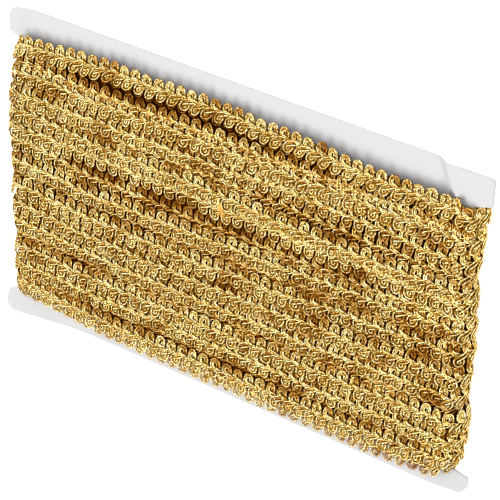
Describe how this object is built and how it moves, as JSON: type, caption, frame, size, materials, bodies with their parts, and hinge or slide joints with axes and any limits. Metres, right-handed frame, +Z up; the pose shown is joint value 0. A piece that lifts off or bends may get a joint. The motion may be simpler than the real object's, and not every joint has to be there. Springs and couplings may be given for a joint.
{
  "type": "scroll gimp lace trim wound on a winder card",
  "caption": "Gold scroll gimp braid wound lengthwise in layers round a flat white winder card and held in the notches of its short sides.",
  "frame": {"origin": "under the middle of the card, on the surface that the winding rests on", "axes": "+Z up out of the card's front face, +X along the turns and the card's long side, +Y across the turns"},
  "size_m": [0.19, 0.118, 0.012],
  "materials": {
    "card": "white-lined board, smooth and matt, with a cut grey edge",
    "trim": "gold metallised yarn wrapped round a soft core, with a satin gloss"
  },
  "bodies": {
    "root": {"card": "card", "wound_trim": "trim"}
  },
  "joints": []
}
